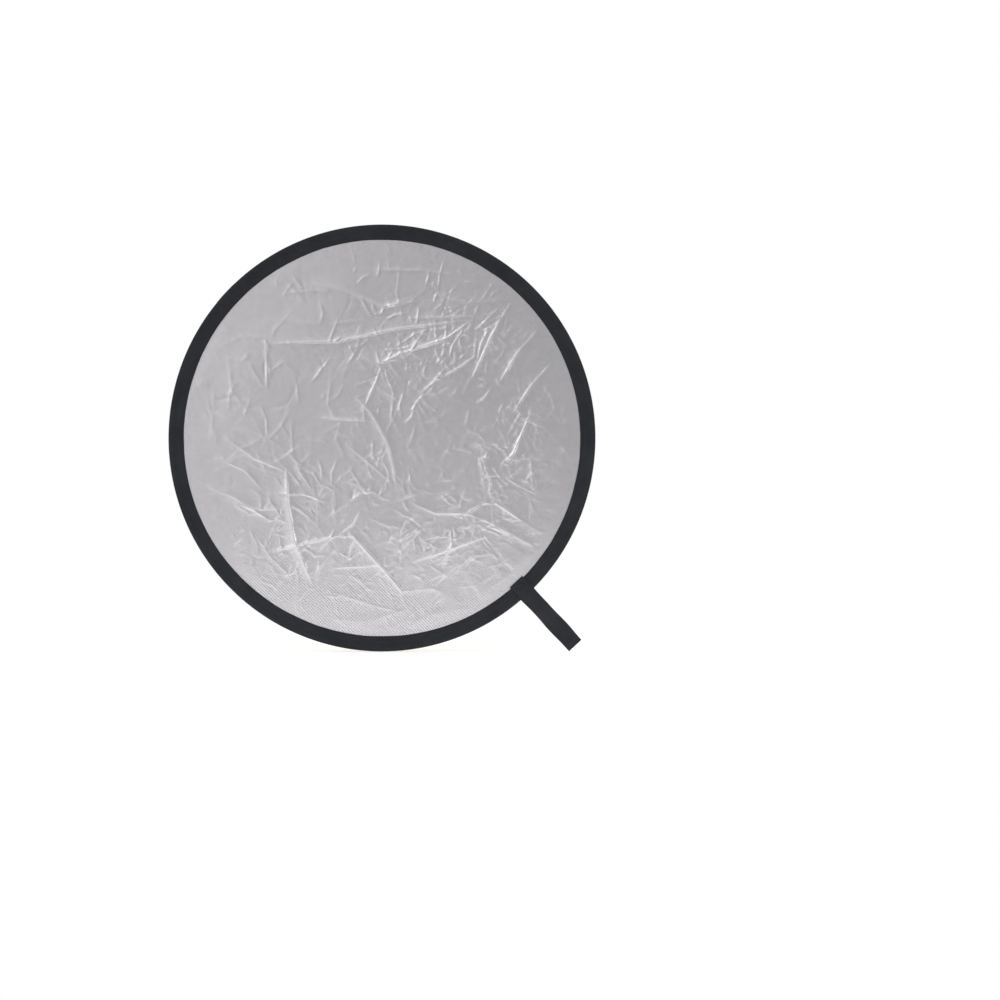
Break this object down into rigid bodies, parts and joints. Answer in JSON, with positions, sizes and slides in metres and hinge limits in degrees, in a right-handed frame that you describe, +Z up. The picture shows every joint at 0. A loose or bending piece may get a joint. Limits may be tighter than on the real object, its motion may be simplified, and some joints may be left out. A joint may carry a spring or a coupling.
{
  "type": "collapsible reflector disc",
  "caption": "Round collapsible light reflector: sprung steel hoop in a black rim binding, silver cloth in front, gold cloth behind, webbing strap on the rim.",
  "frame": {"origin": "the rim's lowest point, on the disc's middle plane, where a clip or a hand holds the disc up", "axes": "+Z up across the upright disc, +Y along the disc's axis from the silver face to the gold face, +X to the right as the silver face is seen"},
  "size_m": [0.4998, 0.0092, 0.4998],
  "materials": {
    "silver_cloth": "metallised woven cloth, fine creases",
    "gold_cloth": "metallised woven cloth, crinkled",
    "binding_tape": "matt woven tape",
    "strap_webbing": "matt ribbed webbing",
    "black_thread": "twisted polyester thread",
    "spring_steel": "blued spring strip",
    "ferrule_steel": "plated, crimped"
  },
  "bodies": {
    "root": {"front_cloth": "silver_cloth", "rear_cloth": "gold_cloth", "rim_binding": "binding_tape", "front_seam_thread": "black_thread", "rear_seam_thread": "black_thread", "strap_anchor": "strap_webbing", "strap_box_stitch_front": "black_thread", "strap_box_stitch_rear": "black_thread", "hoop_root": "spring_steel"},
    "strap": {"strap_loop": "strap_webbing", "strap_tip_stitch_front": "black_thread", "strap_tip_stitch_rear": "black_thread"},
    "hoop_right_01": {"hoop_right_01": "spring_steel"},
    "hoop_right_02": {"hoop_right_02": "spring_steel"},
    "hoop_right_03": {"hoop_right_03": "spring_steel"},
    "hoop_right_04": {"hoop_right_04": "spring_steel"},
    "hoop_right_05": {"hoop_right_05": "spring_steel"},
    "hoop_right_06": {"hoop_right_06": "spring_steel"},
    "hoop_right_07": {"hoop_right_07": "spring_steel"},
    "hoop_right_08": {"hoop_right_08": "spring_steel"},
    "hoop_right_09": {"hoop_right_09": "spring_steel"},
    "hoop_right_10": {"hoop_right_10": "spring_steel"},
    "hoop_right_11": {"hoop_right_11": "spring_steel"},
    "hoop_right_12": {"hoop_end_right": "spring_steel", "hoop_end_left": "spring_steel", "hoop_ferrule": "ferrule_steel"},
    "hoop_left_01": {"hoop_left_01": "spring_steel"},
    "hoop_left_02": {"hoop_left_02": "spring_steel"},
    "hoop_left_03": {"hoop_left_03": "spring_steel"},
    "hoop_left_04": {"hoop_left_04": "spring_steel"},
    "hoop_left_05": {"hoop_left_05": "spring_steel"},
    "hoop_left_06": {"hoop_left_06": "spring_steel"},
    "hoop_left_07": {"hoop_left_07": "spring_steel"},
    "hoop_left_08": {"hoop_left_08": "spring_steel"},
    "hoop_left_09": {"hoop_left_09": "spring_steel"},
    "hoop_left_10": {"hoop_left_10": "spring_steel"},
    "hoop_left_11": {"hoop_left_11": "spring_steel"}
  },
  "joints": [
    {"name": "fold", "type": "hinge", "parent": "root", "child": "hoop_right_01", "pos_m": [0.19159, 0, 0.09206], "axis": [0.0147, -0.9997, 0.0178], "range_deg": [0, 30], "stiffness_Nm_per_rad": 2.47, "springref_deg": -0.59, "deforming": ["front_cloth", "rear_cloth", "rim_binding", "front_seam_thread", "rear_seam_thread"]},
    {"name": "fold_right_02", "type": "hinge", "parent": "hoop_right_01", "child": "hoop_right_02", "pos_m": [0.22594, 0, 0.14703], "axis": [0.0096, -0.9997, 0.021], "range_deg": [0, 30], "stiffness_Nm_per_rad": 2.21, "springref_deg": -0.86},
    {"name": "fold_right_03", "type": "hinge", "parent": "hoop_right_02", "child": "hoop_right_03", "pos_m": [0.24489, 0, 0.20902], "axis": [0.0038, -0.9997, 0.0228], "range_deg": [0, 30], "stiffness_Nm_per_rad": 1.95, "springref_deg": -1.09},
    {"name": "fold_right_04", "type": "hinge", "parent": "hoop_right_03", "child": "hoop_right_04", "pos_m": [0.24716, 0, 0.2738], "axis": [-0.0022, -0.9997, 0.023], "range_deg": [0, 30], "stiffness_Nm_per_rad": 1.82, "springref_deg": -1.18},
    {"name": "fold_right_05", "type": "hinge", "parent": "hoop_right_04", "child": "hoop_right_05", "pos_m": [0.23258, 0, 0.33696], "axis": [-0.0081, -0.9997, 0.0216], "range_deg": [0, 30], "stiffness_Nm_per_rad": 1.69, "springref_deg": -1.18},
    {"name": "fold_right_06", "type": "hinge", "parent": "hoop_right_05", "child": "hoop_right_06", "pos_m": [0.20214, 0, 0.39419], "axis": [-0.0134, -0.9997, 0.0188], "range_deg": [0, 30], "stiffness_Nm_per_rad": 1.43, "springref_deg": -1.2},
    {"name": "fold_right_07", "type": "hinge", "parent": "hoop_right_06", "child": "hoop_right_07", "pos_m": [0.15794, 0, 0.44159], "axis": [-0.0178, -0.9997, 0.0147], "range_deg": [0, 30], "stiffness_Nm_per_rad": 1.144, "springref_deg": -1.2},
    {"name": "fold_right_08", "type": "hinge", "parent": "hoop_right_07", "child": "hoop_right_08", "pos_m": [0.10297, 0, 0.47594], "axis": [-0.021, -0.9997, 0.0096], "range_deg": [0, 30], "stiffness_Nm_per_rad": 0.845, "springref_deg": -1.19},
    {"name": "fold_right_09", "type": "hinge", "parent": "hoop_right_08", "child": "hoop_right_09", "pos_m": [0.04098, 0, 0.49489], "axis": [-0.0228, -0.9997, 0.0038], "range_deg": [0, 30], "stiffness_Nm_per_rad": 0.559, "springref_deg": -1.18},
    {"name": "fold_right_10", "type": "hinge", "parent": "hoop_right_09", "child": "hoop_right_10", "pos_m": [-0.0238, 0, 0.49716], "axis": [-0.023, -0.9997, -0.0022], "range_deg": [0, 30], "stiffness_Nm_per_rad": 0.312, "springref_deg": -1.2},
    {"name": "fold_right_11", "type": "hinge", "parent": "hoop_right_10", "child": "hoop_right_11", "pos_m": [-0.08696, 0, 0.48258], "axis": [-0.0216, -0.9997, -0.0081], "range_deg": [0, 30], "stiffness_Nm_per_rad": 0.143, "springref_deg": -1.15},
    {"name": "fold_right_12", "type": "hinge", "parent": "hoop_right_11", "child": "hoop_right_12", "pos_m": [-0.14419, 0, 0.45214], "axis": [-0.0188, -0.9997, -0.0134], "range_deg": [0, 30], "stiffness_Nm_per_rad": 0.0338, "springref_deg": -1.18},
    {"name": "fold_left_01", "type": "hinge", "parent": "root", "child": "hoop_left_01", "pos_m": [0.14419, 0, 0.04786], "axis": [-0.0188, 0.9997, -0.0134], "range_deg": [0, 30], "stiffness_Nm_per_rad": 2.86, "springref_deg": 0.93},
    {"name": "fold_left_02", "type": "hinge", "parent": "hoop_left_01", "child": "hoop_left_02", "pos_m": [0.08696, 0, 0.01742], "axis": [-0.0216, 0.9997, -0.0081], "range_deg": [0, 30], "stiffness_Nm_per_rad": 2.21, "springref_deg": 0.96},
    {"name": "fold_left_03", "type": "hinge", "parent": "hoop_left_02", "child": "hoop_left_03", "pos_m": [0.0238, 0, 0.00284], "axis": [-0.023, 0.9997, -0.0022], "range_deg": [0, 30], "stiffness_Nm_per_rad": 1.69, "springref_deg": 0.94},
    {"name": "fold_left_04", "type": "hinge", "parent": "hoop_left_03", "child": "hoop_left_04", "pos_m": [-0.04098, 0, 0.00511], "axis": [-0.0228, 0.9997, 0.0038], "range_deg": [0, 30], "stiffness_Nm_per_rad": 1.196, "springref_deg": 0.92},
    {"name": "fold_left_05", "type": "hinge", "parent": "hoop_left_04", "child": "hoop_left_05", "pos_m": [-0.10297, 0, 0.02406], "axis": [-0.021, 0.9997, 0.0096], "range_deg": [0, 30], "stiffness_Nm_per_rad": 0.949, "springref_deg": 0.72},
    {"name": "fold_left_06", "type": "hinge", "parent": "hoop_left_05", "child": "hoop_left_06", "pos_m": [-0.15794, 0, 0.05841], "axis": [-0.0178, 0.9997, 0.0147], "range_deg": [0, 30], "stiffness_Nm_per_rad": 0.715, "springref_deg": 0.5},
    {"name": "fold_left_07", "type": "hinge", "parent": "hoop_left_06", "child": "hoop_left_07", "pos_m": [-0.20214, 0, 0.10581], "axis": [-0.0134, 0.9997, 0.0188], "range_deg": [0, 30], "stiffness_Nm_per_rad": 0.507, "springref_deg": 0.27},
    {"name": "fold_left_08", "type": "hinge", "parent": "hoop_left_07", "child": "hoop_left_08", "pos_m": [-0.23258, 0, 0.16304], "axis": [-0.0081, 0.9997, 0.0216], "range_deg": [0, 30], "stiffness_Nm_per_rad": 0.338, "springref_deg": 0.03},
    {"name": "fold_left_09", "type": "hinge", "parent": "hoop_left_08", "child": "hoop_left_09", "pos_m": [-0.24716, 0, 0.2262], "axis": [-0.0022, 0.9997, 0.023], "range_deg": [0, 30], "stiffness_Nm_per_rad": 0.195, "springref_deg": -0.25},
    {"name": "fold_left_10", "type": "hinge", "parent": "hoop_left_09", "child": "hoop_left_10", "pos_m": [-0.24489, 0, 0.29098], "axis": [0.0038, 0.9997, 0.0228], "range_deg": [0, 30], "stiffness_Nm_per_rad": 0.0845, "springref_deg": -0.55},
    {"name": "fold_left_11", "type": "hinge", "parent": "hoop_left_10", "child": "hoop_left_11", "pos_m": [-0.22594, 0, 0.35297], "axis": [0.0096, 0.9997, 0.021], "range_deg": [0, 30], "stiffness_Nm_per_rad": 0.0221, "springref_deg": -0.79},
    {"name": "strap_bend", "type": "hinge", "parent": "root", "child": "strap", "pos_m": [0.17868, 0, 0.05839], "axis": [0.7314, 0, 0.682], "range_deg": [-120, 120]}
  ],
  "couplings": [
    {"joint": "fold_right_02", "follows": "fold", "ratio": 1},
    {"joint": "fold_right_03", "follows": "fold", "ratio": 1},
    {"joint": "fold_right_04", "follows": "fold", "ratio": 1},
    {"joint": "fold_right_05", "follows": "fold", "ratio": 1},
    {"joint": "fold_right_06", "follows": "fold", "ratio": 1},
    {"joint": "fold_right_07", "follows": "fold", "ratio": 1},
    {"joint": "fold_right_08", "follows": "fold", "ratio": 1},
    {"joint": "fold_right_09", "follows": "fold", "ratio": 1},
    {"joint": "fold_right_10", "follows": "fold", "ratio": 1},
    {"joint": "fold_right_11", "follows": "fold", "ratio": 1},
    {"joint": "fold_right_12", "follows": "fold", "ratio": 1},
    {"joint": "fold_left_01", "follows": "fold", "ratio": 1},
    {"joint": "fold_left_02", "follows": "fold", "ratio": 1},
    {"joint": "fold_left_03", "follows": "fold", "ratio": 1},
    {"joint": "fold_left_04", "follows": "fold", "ratio": 1},
    {"joint": "fold_left_05", "follows": "fold", "ratio": 1},
    {"joint": "fold_left_06", "follows": "fold", "ratio": 1},
    {"joint": "fold_left_07", "follows": "fold", "ratio": 1},
    {"joint": "fold_left_08", "follows": "fold", "ratio": 1},
    {"joint": "fold_left_09", "follows": "fold", "ratio": 1},
    {"joint": "fold_left_10", "follows": "fold", "ratio": 1},
    {"joint": "fold_left_11", "follows": "fold", "ratio": 1}
  ]
}
